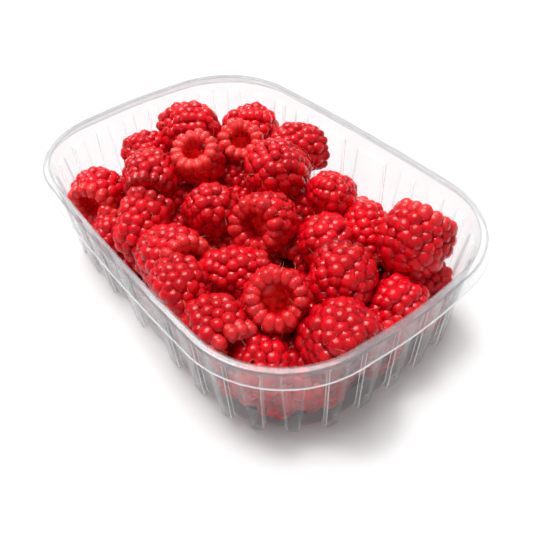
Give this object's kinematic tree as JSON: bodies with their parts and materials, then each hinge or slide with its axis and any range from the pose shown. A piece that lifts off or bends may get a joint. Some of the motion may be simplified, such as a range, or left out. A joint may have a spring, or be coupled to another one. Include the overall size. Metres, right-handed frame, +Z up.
{
  "type": "punnet of raspberries",
  "caption": "Clear ribbed plastic punnet with rounded corners and a turned-down rim, filled with a loose heap of whole raspberries.",
  "frame": {"origin": "centre of the punnet's base, on the surface it stands on", "axes": "+X along the long side, +Y along the short side, +Z up out of the open top"},
  "size_m": [0.1812, 0.1262, 0.0515],
  "materials": {
    "clear_plastic": "clear, glossy, thin thermoformed sheet",
    "raspberry_flesh": "moist, softly glossy drupelets"
  },
  "bodies": {
    "root": {"punnet": "clear_plastic", "raspberries": "raspberry_flesh"}
  },
  "joints": []
}
